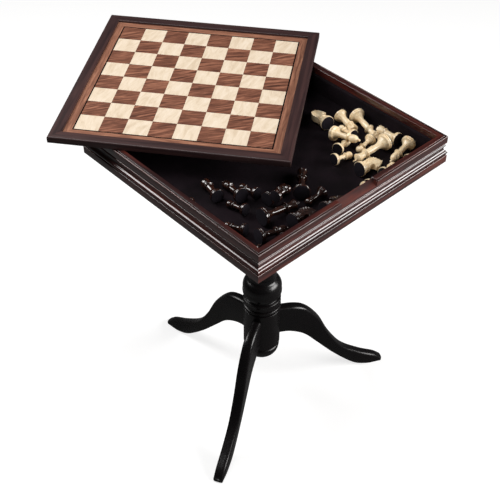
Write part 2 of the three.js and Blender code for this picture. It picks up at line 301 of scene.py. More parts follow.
def joined(mesh, others, operation):
    """mesh with the others cut away or added."""
    tools = []
    for other in others:
        tool = bpy.data.objects.new("tool", other)
        bpy.context.scene.collection.objects.link(tool)
        tools.append(tool)
    shared = {"operation": operation, "solver": "EXACT"}
    result = modified(mesh, *[("BOOLEAN", {"object": tool, **shared}) for tool in tools])
    for tool in tools:
        bpy.data.objects.remove(tool)
    return result


# ---------------------------------------------------------------- materials
def srgb(red, green, blue):
    """A linear colour from 0 to 255 display values."""
    def linear(value):
        share = value / 255
        return share / 12.92 if share <= 0.04045 else ((share + 0.055) / 1.055) ** 2.4
    return (linear(red), linear(green), linear(blue), 1.0)


class Look:
    """A material and short ways to add nodes to it."""

    def __init__(self, name, **sockets):
        self.material = bpy.data.materials.new(name)
        self.material.use_nodes = True
        self.tree = self.material.node_tree
        self.shader = self.tree.nodes["Principled BSDF"]
        for socket, value in sockets.items():
            self.shader.inputs[socket.replace("_", " ")].default_value = value

    def add(self, kind, settings=None, **inputs):
        """A node with its inputs linked or set; an underscore in an input's name is a space."""
        node = self.tree.nodes.new(kind)
        for key, value in (settings or {}).items():
            setattr(node, key, value)
        for key, value in inputs.items():
            socket = node.inputs[key.replace("_", " ")]
            if isinstance(value, bpy.types.NodeSocket):
                self.tree.links.new(value, socket)
            else:
                socket.default_value = value
        return node

    def place(self, source, scale):
        """Coordinates stretched by scale: the grain attribute, or the piece's own place."""
        if source == "grain":
            vector = self.add("ShaderNodeAttribute", {"attribute_name": "grain"}).outputs["Vector"]
        else:
            vector = self.add("ShaderNodeTexCoord").outputs["Object"]
        return self.add("ShaderNodeMapping", Vector=vector, Scale=scale).outputs["Vector"]

    def noise(self, vector, scale=1.0, detail=2.0, roughness=0.5, distortion=0.0):
        return self.add("ShaderNodeTexNoise", Vector=vector, Scale=scale, Detail=detail,
                        Roughness=roughness, Distortion=distortion).outputs[0]

    def ramp(self, value, stops):
        """A colour that follows value through (position, colour) stops."""
        node = self.add("ShaderNodeValToRGB", Fac=value)
        elements = node.color_ramp.elements
        while len(elements) < len(stops):
            elements.new(0.5)
        for element, (position, colour) in zip(elements, stops):
            element.position = position
            element.color = colour
        return node.outputs["Color"]

    def span(self, value, low, high, from_low=0.3, from_high=0.7):
        """Noise, which is mostly between from_low and from_high, stretched over low to high."""
        node = self.add("ShaderNodeMapRange", Value=value)
        ends = {"From Min": from_low, "From Max": from_high, "To Min": low, "To Max": high}
        for key, number in ends.items():
            node.inputs[key].default_value = number
        return node.outputs["Result"]

    def blend(self, kind, factor, first, second):
        """Two colours mixed; the mix node's colour sockets are 6 and 7, and its result is 2."""
        node = self.add("ShaderNodeMix", {"data_type": "RGBA", "blend_type": kind})
        for index, value in ((0, factor), (6, first), (7, second)):
            if isinstance(value, bpy.types.NodeSocket):
                self.tree.links.new(value, node.inputs[index])
            else:
                node.inputs[index].default_value = value
        return node.outputs[2]

    def into(self, socket, value):
        self.tree.links.new(value, self.shader.inputs[socket])

    def bump(self, height, strength, distance):
        node = self.add("ShaderNodeBump", Height=height, Strength=strength, Distance=distance)
        self.into("Normal", node.outputs["Normal"])


def wood(name, dark, middle, light, figure, fibre, gloss, spread=(0.32, 0.5, 0.68), pores=0.5,
         relief=0.15, coat=0.0):
    """Wood whose grain runs along X of the grain attribute. figure and fibre are (along, across)
    repeats per metre of the broad bands and of the fine fibres."""
    look = Look(name, Coat_Weight=coat, Coat_Roughness=0.12)
    bands = look.noise(look.place("grain", (figure[0], figure[1], figure[1])), detail=3.0,
                       roughness=0.6, distortion=0.7)
    threads = look.noise(look.place("grain", (fibre[0], fibre[1], fibre[1])), detail=2.0, roughness=0.6)
    base = look.ramp(bands, [(spread[0], dark), (spread[1], middle), (spread[2], light)])
    streak = look.ramp(threads, [(0.36, (0.62, 0.6, 0.6, 1.0)), (0.58, (1.0, 1.0, 1.0, 1.0))])
    look.into("Base Color", look.blend("MULTIPLY", pores, base, streak))
    look.into("Roughness", look.span(threads, gloss + 0.07, gloss - 0.04))
    look.bump(threads, relief, 0.0002)
    return look.material


def felt_look(name, colour, tint, sheen):
    """Pressed wool: short nap with slow mottling where it has been brushed."""
    look = Look(name, Roughness=0.95, Specular_IOR_Level=0.15, Sheen_Weight=sheen,
                Sheen_Roughness=0.45, Sheen_Tint=tint)
    nap = look.noise(look.place("own", (1.0, 1.0, 1.0)), scale=1900.0, detail=2.0)
    brushed = look.noise(look.place("own", (1.0, 1.0, 1.0)), scale=34.0, detail=3.0)
    deep = tuple(0.6 * channel for channel in colour[:3]) + (1.0,)
    raised = tuple(1.5 * channel for channel in colour[:3]) + (1.0,)
    mottled = look.ramp(brushed, [(0.35, deep), (0.65, raised)])
    fibres = look.ramp(nap, [(0.3, (0.55, 0.55, 0.55, 1.0)), (0.7, (1.0, 1.0, 1.0, 1.0))])
    look.into("Base Color", look.blend("MULTIPLY", 1.0, mottled, fibres))
    look.bump(nap, 0.6, 0.0004)
    return look.material


def lacquer_look(name, dark, worn, gloss):
    """Black lacquer over turned wood: a faint brown shows through, and the grain just telegraphs."""
    look = Look(name, Specular_IOR_Level=0.4)
    cloud = look.noise(look.place("own", (9.0, 9.0, 9.0)), detail=3.0)
    grain = look.noise(look.place("grain", (30.0, 700.0, 700.0)), detail=2.0)
    skin = look.noise(look.place("own", (1.0, 1.0, 1.0)), scale=420.0, detail=1.0)
    look.into("Base Color", look.ramp(cloud, [(0.35, dark), (0.7, worn)]))
    look.into("Roughness", look.span(skin, gloss - 0.04, gloss + 0.06))
    look.bump(grain, 0.08, 0.0001)
    return look.material


def steel_look():
    look = Look("steel", Metallic=1.0)
    marks = look.noise(look.place("own", (40.0, 900.0, 900.0)), detail=2.0)
    look.into("Base Color", look.ramp(marks, [(0.3, srgb(140, 142, 146)), (0.7, srgb(178, 180, 184))]))
    look.into("Roughness", look.span(marks, 0.28, 0.42))
    return look.material


mahogany = wood("mahogany", srgb(32, 10, 10), srgb(58, 22, 19), srgb(92, 40, 30), (5, 150),
                (40, 1500), 0.32, pores=0.6, coat=0.8)
espresso = wood("espresso", srgb(40, 24, 25), srgb(54, 35, 35), srgb(72, 48, 46), (6, 160),
                (45, 1700), 0.42, pores=0.5)
walnut = wood("walnut", srgb(76, 45, 35), srgb(122, 77, 59), srgb(172, 117, 92), (24, 300),
              (120, 2100), 0.42, pores=0.65)
border_walnut = wood("border_walnut", srgb(114, 74, 57), srgb(146, 98, 77), srgb(178, 126, 100),
                     (20, 260), (110, 2000), 0.42, pores=0.55)
maple = wood("maple", srgb(216, 196, 170), srgb(229, 211, 187), srgb(236, 220, 199), (34, 120),
             (200, 1500), 0.42, pores=0.16, relief=0.06)
boxwood = wood("boxwood", srgb(222, 186, 138), srgb(243, 219, 178), srgb(250, 234, 203), (40, 420),
               (160, 2600), 0.27, pores=0.22, relief=0.06, coat=0.4)
stained = wood("stained_boxwood", srgb(20, 9, 7), srgb(38, 19, 14), srgb(62, 33, 24), (40, 420),
               (160, 2600), 0.2, pores=0.4, relief=0.06, coat=1.0)
board = wood("board", srgb(122, 88, 56), srgb(156, 116, 76), srgb(184, 143, 98), (4, 90), (40, 900),
             0.6, pores=0.5)
lacquer = lacquer_look("ebonised", srgb(9, 8, 9), srgb(17, 13, 14), 0.27)
felt = felt_look("felt", srgb(20, 12, 17), srgb(130, 100, 125), 0.08)
disc_felt = felt_look("disc_felt", srgb(24, 20, 26), srgb(120, 110, 130), 0.1)
steel = steel_look()

SLOT_LOOKS = {
    "mahogany": mahogany, "espresso": espresso, "walnut": walnut, "felt": felt, "board": board,
    "ebonised": lacquer, "boxwood": boxwood, "stained_boxwood": stained, "steel": steel,
    "chequer_veneer": maple,
}


# ---------------------------------------------------------------- pieces
draw = random.Random(7)


def grain_values(points, along, turn=0.0):
    """Grain coordinates of points in metres: X runs along the fibres, shifted to a place of its own."""
    shift = Vector([draw.uniform(0, 20) for _ in range(3)])
    order = {"X": (0, 1, 2), "Y": (1, 0, 2), "Z": (2, 1, 0)}[along]
    swing = Matrix.Rotation(math.radians(-turn), 3, "Z")
    values = []
    for point in points:
        place = swing @ Vector([point[k] for k in order])
        values.append(place + shift)
    return values


def set_grain(mesh, values):
    """Stores the grain coordinates that the wood looks read."""
    attribute = mesh.attributes.new("grain", "FLOAT_VECTOR", "POINT")
    attribute.data.foreach_set("vector", [channel for value in values for channel in value])


def piece(name, mesh, slot, body, stands_for=(), at=TABLE, along="X", turn=0.0, sharp=32.0,
          looks=None, grain=None):
    """Names a mesh, places it, gives it its material and grain, and lets it ride on its body."""
    mesh.name = name
    mesh.materials.clear()
    for look in looks or [SLOT_LOOKS[slot]]:
        mesh.materials.append(look)
    mesh.shade_smooth()
    mesh.set_sharp_from_angle(angle=math.radians(sharp))
    set_grain(mesh, grain or grain_values([vertex.co for vertex in mesh.vertices], along, turn))
    made = bpy.data.objects.new(name, mesh)
    bpy.context.scene.collection.objects.link(made)
    made.matrix_world = at
    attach(made, body)
    if stands_for:
        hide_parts(*stands_for)
    return made


def four_sides(prefix, make, slot, body, at=TABLE, **options):
    """The same rail on the four sides of a square frame, front first and then anticlockwise."""
    for turns, side in enumerate(SIDES):
        name = f"{prefix}_{side}"
        piece(f"{name}_finished", make(side), slot, body, [name],
              at @ Matrix.Rotation(turns * math.pi / 2, 4, "Z"), **options)


# ---------------------------------------------------------------- box and tray
def rail_section():
    """From the rebate for the bottom board, round the plinth, bead, cove and fascia to the rim."""
    foot = BASE_HALF - 0.2
    rebate = BOARD_HALF + CLEARANCE
    return outline([
        (OPENING, BOARD_TOP), (rebate, BOARD_TOP), (rebate, BOX_BOTTOM),
        (foot - 0.8, BOX_BOTTOM), (foot, BOX_BOTTOM + 0.8, 0.2), (foot, -36.3), (foot - 0.8, -35.5, 0.2),
        (197.6, -35.4), (196.6, -34.8, -0.2), (197.2, -33.9), (197.2, -27.7, 0.45),
        (196.4, -27.1), (195.3, -20.4, -0.12), (195.7, -19.4), (195.7, -16.2, 0.5), (195.2, -15.4),
        (195.4, -13.8), (196.6, -13.3), (RIM_HALF, -12.2, 0.2),
        (RIM_HALF, -1.0), (RIM_HALF - 2.0, -1.0, 0.5), (195.8, -1.9), (194.5, -1.9),
        (194.3, -0.5), (193.8, 0.0, 0.2), (OPENING + 0.8, 0.0), (OPENING, -0.8, 0.2),
    ], step=22)


def notch_depth(reach):
    """Height of the finger notch's floor, which slopes down towards the outside."""
    slope = (NOTCH_OUTER_DEPTH - NOTCH_INNER_DEPTH) / (RIM_HALF - OPENING)
    return -NOTCH_INNER_DEPTH - slope * (reach - OPENING)


def notched(reach, height, x):
    """A point of the front rail after the notch is cut, with the notch's ends rounded."""
    share = smooth((NOTCH_HALF - abs(x)) / NOTCH_ROUND + NOTCH_LEAD)
    return reach, height + (min(height, notch_depth(reach)) - height) * share


def build_box():
    """The four rails, the liners that form the ledge, the bottom board and the felt."""
    section = rail_section()
    steps = 9
    ends = [NOTCH_HALF + NOTCH_ROUND * (NOTCH_LEAD - i / steps) for i in range(steps + 1)]
    stations = [-x for x in ends] + [-12.0, 12.0] + ends[::-1]

    def rail(side):
        if side == "front":
            return mitred_rail("rail", section, stations=stations, reshape=notched)
        return mitred_rail("rail", section)

    four_sides("rail", rail, "mahogany", "table", sharp=28)

    liner = outline([
        (LINER_INNER, FELT_TOP), (OPENING, FELT_TOP), (OPENING, LEDGE), (LINER_INNER + 1.6, LEDGE),
        (LINER_INNER, LEDGE - 1.6, 0.2),
    ])
    four_sides("liner", lambda side: mitred_rail("liner", liner), "felt", "table")

    piece("tray_bottom_finished", slab("board", BOARD_HALF, BOX_BOTTOM, BOARD_TOP, 0.4), "board",
          "table", ["tray_bottom"])
    build_tray_felt()


def build_tray_felt():
    """The felt floor, glued down, so it is flat but for the faint unevenness of its nap."""
    cells = 60
    nap = 0.12
    lump = 23.0
    lines = []
    for row in range(cells + 1):
        line = []
        for column in range(cells + 1):
            x = FELT_HALF * (2 * column / cells - 1)
            y = FELT_HALF * (2 * row / cells - 1)
            wave = noise.noise(Vector((x / lump, y / lump, 0.5)))
            line.append((x, y, FELT_TOP - nap + nap * wave))
        lines.append(line)
    count = cells + 1
    vertices = [point for line in lines for point in line]
    faces = []
    for row in range(cells):
        for column in range(cells):
            a = row * count + column
            faces.append((a, a + 1, a + count + 1, a + count))
    edge = list(range(count)) + [row * count + cells for row in range(1, count)]
    edge += [cells * count + column for column in range(cells - 1, -1, -1)]
    edge += [row * count for row in range(cells - 1, 0, -1)]
    low = [len(vertices) + i for i in range(len(edge))]
    vertices += [(vertices[i][0], vertices[i][1], BOARD_TOP) for i in edge]
    for i, j, a, b in zip(edge, edge[1:] + edge[:1], low, low[1:] + low[:1]):
        faces.append((j, i, a, b))
    faces.append(tuple(low))
    piece("tray_felt_finished", mesh_of("felt", vertices, faces), "felt", "table", ["tray_felt"])


# ---------------------------------------------------------------- lid
def build_lid():
    """Frame, panel, walnut border, a dark stringing line and the squares, in the lid's own place."""
    panel_edge = PANEL_HALF + CLEARANCE
    groove = PANEL_TOP + CLEARANCE
    frame_section = outline([
        (panel_edge, 0.0), (LID_HALF - 0.9, 0.0), (LID_HALF, 0.9, 0.2),
        (LID_HALF, LID_THICK - 2.2), (LID_HALF - 2.2, LID_THICK, 0.2),
        (LID_INNER + 1.4, LID_THICK), (LID_INNER, LID_THICK - 1.4, 0.2),
        (LID_INNER, groove), (panel_edge, groove),
    ])
    four_sides("lid_frame", lambda side: mitred_rail("frame", frame_section, gap=0.08), "espresso",
               "lid", at=LID)
    piece("lid_panel_finished", slab("panel", PANEL_HALF, 0.0, PANEL_TOP, 0.3), "board", "lid",
          ["lid_panel"], at=LID)
    string_inner = FIELD + 0.15
    string_outer = FIELD + 2.1
    border_section = outline([
        (string_outer + 0.05, PANEL_TOP), (LID_INNER - 0.1, PANEL_TOP), (LID_INNER - 0.1, SURFACE),
        (string_outer + 0.2, SURFACE), (string_outer + 0.05, SURFACE - 0.15),
    ])
    four_sides("border", lambda side: mitred_rail("border", border_section, gap=0.06), "walnut", "lid",
               at=LID, looks=[border_walnut])
    stringing = square_ring("stringing", [
        (string_inner, PANEL_TOP), (string_outer, PANEL_TOP), (string_outer, SURFACE - 0.02),
        (string_inner, SURFACE - 0.02)])
    piece("stringing", stringing, "espresso", "lid", at=LID, looks=[lacquer])
    build_squares()


def tile(centre_x, centre_y):
    """One veneer square with its top edge just eased."""
    half = SQUARE / 2 - 0.03
    rings = ((half, PANEL_TOP + 0.02), (half, SURFACE - 0.07), (half - 0.09, SURFACE))
    vertices = []
    for reach, height in rings:
        for x, y in ((-1, -1), (1, -1), (1, 1), (-1, 1)):
            vertices.append((centre_x + x * reach, centre_y + y * reach, height))
    faces = [(0, 1, 2, 3), (8, 9, 10, 11)]
    for low in (0, 4):
        for i in range(4):
            j = (i + 1) % 4
            faces.append((low + i, low + j, low + 4 + j, low + 4 + i))
    return vertices, faces


def build_squares():
    """Dark squares have an odd sum of file and rank, counted from the lid's own -X -Y corner.
    Each row of settings is: parity, slot, look, the grain's turn and how far it strays, in degrees."""
    settings = {
        "dark_squares": (1, "walnut", walnut, 22.0, 6.0),
        "light_squares": (0, "chequer_veneer", maple, 80.0, 12.0),
    }
    for name, (parity, slot, look, turn, scatter) in settings.items():
        vertices, faces, grain = [], [], []
        for file in range(8):
            for rank in range(8):
                if (file + rank) % 2 != parity:
                    continue
                centre_x = (file - 3.5) * SQUARE
                centre_y = (rank - 3.5) * SQUARE
                corners, sides = tile(centre_x, centre_y)
                first = len(vertices)
                vertices += corners
                faces += [tuple(first + i for i in side) for side in sides]
                metres = [[c * MM for c in corner] for corner in corners]
                grain += grain_values(metres, "X", turn + draw.uniform(-scatter, scatter))
        piece(name, mesh_of(name, vertices, faces), slot, "lid", ["chess_field"], at=LID, looks=[look],
              grain=grain)


# ---------------------------------------------------------------- column and legs
def build_column():
    """Bun at the foot, plain drum where the legs join, a ringed ball, a slim neck and a collar."""
    profile = [
        (0, COLUMN_BOTTOM), (9, COLUMN_BOTTOM), (31.8, -477, 0.2), (32, -471.5, 0.06), (31, -470.4),
        (29.6, -469.4), (29.6, -467.4, -0.3), (31, -466.4), (33, -464.6, 0.3), (33, -380),
        (32.2, -378.8, 0.2), (30, -378), (30, -376, -0.4), (32.2, -375.4), (33.3, -372.8, 0.25),
        (32.2, -369.8, 0.25), (30.2, -368.8), (30.2, -366.2, -0.4), (32.4, -365.4), (33.3, -363, 0.25),
        (33.3, -355.4), (32.4, -353, 0.25), (30, -352), (29.6, -348.8, -0.4), (31.4, -347.4),
        (34, -331, 0.13), (24.6, -309.4, 0.17), (24.4, -298, -0.1), (23.5, -261), (21, -201),
        (19.5, -141), (20, -106), (24, -104, -0.2), (24.4, -100, 0.4), (24, -97, 0.1),
        (21.2, -95, -0.2), (24, -83, -0.1), (30, -75, -0.12), (30, -71.4), (32, -70.6),
        (36, -69, 0.1), (37, -65, 0.25), (36, -61, 0.25), (14.6, -61.0), (14.6, -50.4), (0, -50.4),
    ]
    piece("column_finished", turned("column", profile, segments=96, step=10), "ebonised", "table",
          ["column"], along="Z", sharp=38)
    plate = slab("plate", PLATE_HALF, PLATE_BOTTOM, BOX_BOTTOM, 2.0)
    piece("top_plate_finished", plate, "ebonised", "table", ["top_plate"])


# A leg's upper and lower edges in its own plane: reach from the column's axis and height from the
# rim.
LEG_TOP = [(26, -390), (60, -393), (84, -405), (109, -437), (130, -482), (158, -524), (197, -553),
           (230, -571), (241.5, -582)]
LEG_UNDER = [(26, -450), (52, -453), (80, -468), (105, -496), (142, -539), (184, -578), (214, -589.6)]
LEG_STATIONS = 56
LEG_HALF_THICK = 9.4
ANKLE_REACH = 222.0
TOE_LENGTH = 22.0
JOINT_RADIUS = 33.1               # where the legs meet the drum of the column


def leg_half_thickness(reach):
    """Half of a leg's thickness, full to the ankle and drawn in towards the toe."""
    return LEG_HALF_THICK - 0.8 * smooth((reach - ANKLE_REACH) / TOE_LENGTH)


def leg_section(under, top, half):
    """Flat sides with a softly crowned top and eased lower edges."""
    height = math.dist(under, top)
    crown = min(7.0, 0.4 * height)
    soft = min(1.6, 0.15 * height)
    right = [(0.0, 0.0)]
    for i in range(4):
        angle = math.radians(30 * i)
        right.append((half - soft + soft * math.sin(angle), soft - soft * math.cos(angle)))
    for i in range(10):
        angle = math.radians(10 * i)
        across = half * math.cos(angle) ** 0.8
        right.append((across, height - crown + crown * math.sin(angle) ** 0.8))
    right.append((0.0, height))
    left = [(-across, up) for across, up in right[-2:0:-1]]
    ring = []
    for across, up in right + left:
        share = up / height
        ring.append((under[0] + (top[0] - under[0]) * share, across,
                     under[1] + (top[1] - under[1]) * share))
    return ring


def leg_mesh():
    """One leg along +X, hollowed to the drum at its inner end and rounded off at the toe."""
    top = spline(LEG_TOP, 200)
    under = spline(LEG_UNDER, 180) + [(241.0, FLOOR + 0.1)]
    top = resampled([point for point in top if point[0] >= JOINT_RADIUS], LEG_STATIONS)
    under = resampled([point for point in under if point[0] >= JOINT_RADIUS], LEG_STATIONS)
    rings = []
    for low, high in zip(under, top):
        rings.append(leg_section(low, high, leg_half_thickness((low[0] + high[0]) / 2)))
    rings[0] = [(math.sqrt(JOINT_RADIUS ** 2 - y * y), y, z) for _, y, z in rings[0]]
    last = [Vector(point) for point in rings[-1]]
    middle = sum(last, Vector()) / len(last)
    for scale, ahead in ((0.93, 0.9), (0.8, 1.7), (0.55, 2.4)):
        tip = middle + Vector((ahead, 0, 0))
        rings.append([tuple((point - middle) * scale + tip) for point in last])
    return lofted("leg", rings)


def build_legs():
    """Each leg is turned to the heading of its bolt. The bolts stay as the frame has them."""
    mesh = leg_mesh()
    for side in ("front", "right", "left"):
        low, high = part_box(f"leg_bolt_{side}")
        bolt = (low + high) / 2 - CENTRE
        heading = math.atan2(bolt.y, bolt.x)
        piece(f"leg_{side}_finished", mesh.copy(), "ebonised", "table", [f"leg_{side}"],
              TABLE @ Matrix.Rotation(heading, 4, "Z"), sharp=45)
        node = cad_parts[f"leg_bolt_{side}"]
        node.data.materials.clear()
        node.data.materials.append(steel)


# ---------------------------------------------------------------- chessmen
DISC_THICK = 0.7                  # felt disc under each man


def man_base(radius):
    """The foot that every man has: a felt disc, set in a little, and a straight band."""
    disc = radius - 0.7
    return [(0, 0), (disc - 0.2, 0), (disc, 0.25, 0.2), (disc, DISC_THICK), (radius - 0.4, DISC_THICK),
            (radius, 1.1, 0.2), (radius, 3.0), (radius - 0.5, 3.5, 0.2), (radius - 1.2, 3.6)]


# Profiles are (radius, height, bulge) from the felt disc to the top.
PROFILES = {
    "pawn": man_base(9.5) + [
        (8.3, 5.6, 0.42), (7.4, 5.9), (6.9, 6.6), (3.6, 16.6, -0.16), (3.35, 20.6), (4.2, 21.4, -0.25),
        (5.4, 22.2), (5.4, 23.4, 0.45), (4.1, 24.2, -0.1), (3.5, 25.3, -0.2), (5.9, 30.1, 0.122),
        (0, 36, 0.207)],
    "rook": man_base(11) + [
        (9.6, 6.2, 0.42), (8.6, 6.6), (8.0, 7.6), (5.7, 20, -0.12), (5.7, 26.6), (6.7, 27.6, -0.2),
        (7.4, 28.4), (7.4, 29.8, 0.4), (6.6, 30.4), (6.4, 31.6, -0.2), (7.6, 35.4, -0.08), (7.8, 41.4),
        (7.3, 42, 0.2), (5.5, 42), (5.2, 41.7, 0.2), (5.2, 38.6), (0, 38.2)],
    "bishop": man_base(12) + [
        (10.4, 6.4, 0.42), (9.3, 6.9), (8.6, 7.9), (4.8, 20.4, -0.14), (4.1, 28.6), (5.2, 29.6, -0.2),
        (6.8, 30.6), (6.8, 32, 0.45), (5.2, 32.8, -0.1), (4.3, 34.2, -0.2), (6.3, 41.2, 0.13),
        (1.9, 49.6, 0.16), (1.4, 50.2, -0.2), (2.0, 52.0, 0.2), (0, 54, 0.207)],
    "queen": man_base(13) + [
        (11.3, 6.8, 0.42), (10, 7.3), (9.2, 8.4), (5.3, 25.4, -0.14), (4.5, 36.2), (5.6, 37.4, -0.2),
        (7.4, 38.6), (7.4, 40.2, 0.45), (6.0, 41, -0.1), (5.9, 42.2, 0.3), (4.7, 43.2, -0.2),
        (5.6, 50.4, -0.08), (7.8, 56.8, -0.08), (7.5, 57.6, 0.2), (5.2, 58.2, -0.1), (1.7, 59.6, 0.1),
        (1.9, 60.9, -0.2), (0, 63, 0.3)],
    "king": man_base(13.6) + [
        (11.9, 7, 0.42), (10.5, 7.6), (9.6, 8.8), (5.7, 28, -0.14), (4.9, 40.2), (6.1, 41.4, -0.2),
        (8.0, 42.6), (8.0, 44.6, 0.45), (6.4, 45.4, -0.1), (6.2, 46.6, 0.3), (5.1, 47.6, -0.2),
        (5.8, 53.4, -0.06), (8.0, 59.6, -0.07), (7.5, 60.8, 0.2), (2.3, 63.2, 0.1), (1.5, 64.4, -0.2),
        (1.3, 65.2), (0, 65.4)],
    "knight": man_base(12) + [
        (10.4, 6.4, 0.42), (9.3, 6.9), (8.8, 7.8), (7.4, 12, -0.1), (8.6, 13.2, -0.2), (8.9, 14.4, 0.3),
        (8.4, 15.6, 0.2), (0, 15.8)],
}

KNIGHT_OUTLINE = [
    (7.6, 14.6), (6.4, 18), (4.9, 21.4), (4.9, 24.4), (6.8, 26.8), (9.2, 26.2), (11.6, 25.2),
    (13.2, 26.6), (13.8, 29.4), (12.9, 32.2), (10.6, 35.6), (8.7, 39.2), (7.2, 42.2), (5.9, 44.4),
    (4.5, 47.6), (2.9, 45.2), (0.2, 44.4), (-3.6, 42.6), (-7.2, 39), (-9.4, 34), (-10, 28),
    (-9.2, 22), (-7.9, 17.6), (-7.8, 14.6),
]


def block(size, centre, turn=0.0, axis="Y"):
    """A small box used to cut or build up a man, turned about the given axis through its centre."""
    shell = bmesh.new()
    bmesh.ops.create_cube(shell, size=1.0)
    swing = Matrix.Rotation(math.radians(turn), 4, axis)
    stretch = Matrix.Diagonal((*size, 1.0))
    shell.transform(Matrix.Scale(MM, 4) @ Matrix.Translation(centre) @ swing @ stretch)
    return finished_mesh("block", shell)


def ball(radius, centre):
    """A small ball for a knight's brow or nostril."""
    shell = bmesh.new()
    bmesh.ops.create_icosphere(shell, subdivisions=2, radius=radius * MM)
    shell.transform(Matrix.Translation(Vector(centre) * MM))
    return finished_mesh("ball", shell)


def rod(radius, length, centre, turn, tilt):
    """A round bar lying along the direction turn in plan, used to scallop a crown."""
    shell = bmesh.new()
    bmesh.ops.create_cone(shell, cap_ends=True, segments=20, radius1=radius, radius2=radius,
                          depth=length)
    heading = Matrix.Rotation(math.radians(turn), 4, "Z")
    lean = Matrix.Rotation(math.radians(90 - tilt), 4, "Y")
    shell.transform(Matrix.Scale(MM, 4) @ Matrix.Translation(centre) @ heading @ lean)
    return finished_mesh("rod", shell)


def king_cross():
    """A small cross with splayed arms."""
    half = 0.9
    arms = [(0.7, 64.6), (0.5, 66.4), (2.5, 65.7), (2.5, 68.3), (0.5, 67.6), (0.9, 70), (-0.9, 70),
            (-0.5, 67.6), (-2.5, 68.3), (-2.5, 65.7), (-0.5, 66.4), (-0.7, 64.6)]
    return lofted("cross", [[(x, y, z) for x, z in arms] for y in (-half, half)])


def knight_head():
    """A horse's head: the outline is thickened less at the muzzle and ears, rounded, and carved."""
    edge = spline(KNIGHT_OUTLINE + KNIGHT_OUTLINE[:1], 90)[:-1]

    def half_thickness(x, z):
        muzzle = smooth((x - 4) / 9)
        crest = smooth((z - 38) / 9)
        return 5.6 - 2.0 * muzzle - 2.6 * crest

    head = lofted("head", [[(x, side * half_thickness(x, z), z) for x, z in edge] for side in (-1, 1)])
    brows = [ball(1.5, (6.4, side * 3.5, 37.6)) for side in (-1, 1)]
    head = joined(head, brows, "UNION")
    mouth = block((6.5, 14, 0.7), (12.2, 0, 27.9), turn=-8)
    ear_gap = block((3.0, 3.4, 6.0), (3.6, 0, 47.6))
    nostrils = [ball(0.8, (12.9, side * 3.6, 30.6)) for side in (-1, 1)]
    head = joined(head, [mouth, ear_gap, *nostrils], "DIFFERENCE")
    head = modified(head, ("REMESH", {"mode": "VOXEL", "voxel_size": 0.42 * MM}),
                    ("SMOOTH", {"factor": 0.5, "iterations": 7}))
    # A faint wave along the back of the neck, for the mane.
    for vertex in head.vertices:
        x, y, z = (c / MM for c in vertex.co)
        mane = smooth((1.5 - x) / 3) * smooth((z - 19) / 3) * smooth((44.5 - z) / 3)
        lock = math.sin(1.35 * (z + 0.55 * x))
        vertex.co.y = y * MM * (1 + 0.1 * mane * lock)
    return head


def man_mesh(kind):
    """A man of this kind standing on the origin, turned and then cut or built up as it needs."""
    mesh = turned(kind, PROFILES[kind], segments=48, step=16)
    if kind == "rook":
        slots = [block((20, 1.9, 4), (0, 0, 41.6), turn=60 * i, axis="Z") for i in range(3)]
        mesh = joined(mesh, slots, "DIFFERENCE")
    if kind == "bishop":
        mesh = joined(mesh, [block((9, 16, 0.9), (5.2, 0, 44.6), turn=-52)], "DIFFERENCE")
    if kind == "queen":
        scallops = []
        for i in range(8):
            angle = math.radians(45 * i + 22.5)
            centre = (8.2 * math.cos(angle), 8.2 * math.sin(angle), 58.3)
            scallops.append(rod(1.35, 6, centre, 45 * i + 22.5, tilt=25))
        mesh = joined(mesh, scallops, "DIFFERENCE")
    if kind == "king":
        mesh = joined(mesh, [king_cross()], "UNION")
    if kind == "knight":
        mesh = joined(mesh, [knight_head()], "UNION")
    return mesh


def flat_facets(mesh):
    """The flat faces of a CAD solid: [normal, offset, area, points], largest first."""
    mesh.calc_loop_triangles()
    found = []
    for triangle in mesh.loop_triangles:
        points = [mesh.vertices[i].co for i in triangle.vertices]
        offset = triangle.normal.dot(points[0])
        for facet in found:
            if facet[0].dot(triangle.normal) > 0.9999 and abs(facet[1] - offset) < 2e-5:
                facet[2] += triangle.area
                facet[3] += points
                break
        else:
            found.append([triangle.normal.copy(), offset, triangle.area, points])
    return sorted(found, key=lambda facet: -facet[2])


def disc_centre(points):
    """The centre of the circle that the points lie on, or None if they don't."""
    distinct = {tuple(round(c, 6) for c in point): point for point in points}
    centre = sum(distinct.values(), Vector()) / len(distinct)
    reaches = [(point - centre).length for point in distinct.values()]
    reaches = [reach for reach in reaches if reach > 1e-4]
    if len(reaches) >= 8 and max(reaches) - min(reaches) < 1e-4:
        return centre
    return None


def man_placement(node, kind):
    """How a man lies, read from its CAD solid: its base is the largest round flat face."""
    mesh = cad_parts[node].data
    facets = flat_facets(mesh)
    discs = ((facet[0], disc_centre(facet[3])) for facet in facets)
    normal, centre = next((normal, centre) for normal, centre in discs if centre is not None)
    up = -normal
    if kind == "knight":
        side = next(facet[0] for facet in facets if abs(facet[0].dot(up)) < 0.01)
        nose = side.cross(up)
        far = max((vertex.co - centre for vertex in mesh.vertices),
                  key=lambda reach: (reach - up * reach.dot(up)).length * (reach.dot(up) > 0.02))
        if far.dot(nose) < 0:
            nose, side = -nose, -side
    else:
        nose = up.orthogonal().normalized()
        side = up.cross(nose)
    basis = Matrix((nose, side, up)).transposed().to_4x4()
    spin = 0.0 if kind == "knight" else draw.uniform(0, math.tau)
    return Matrix.Translation(centre) @ basis @ Matrix.Rotation(spin, 4, "Z")


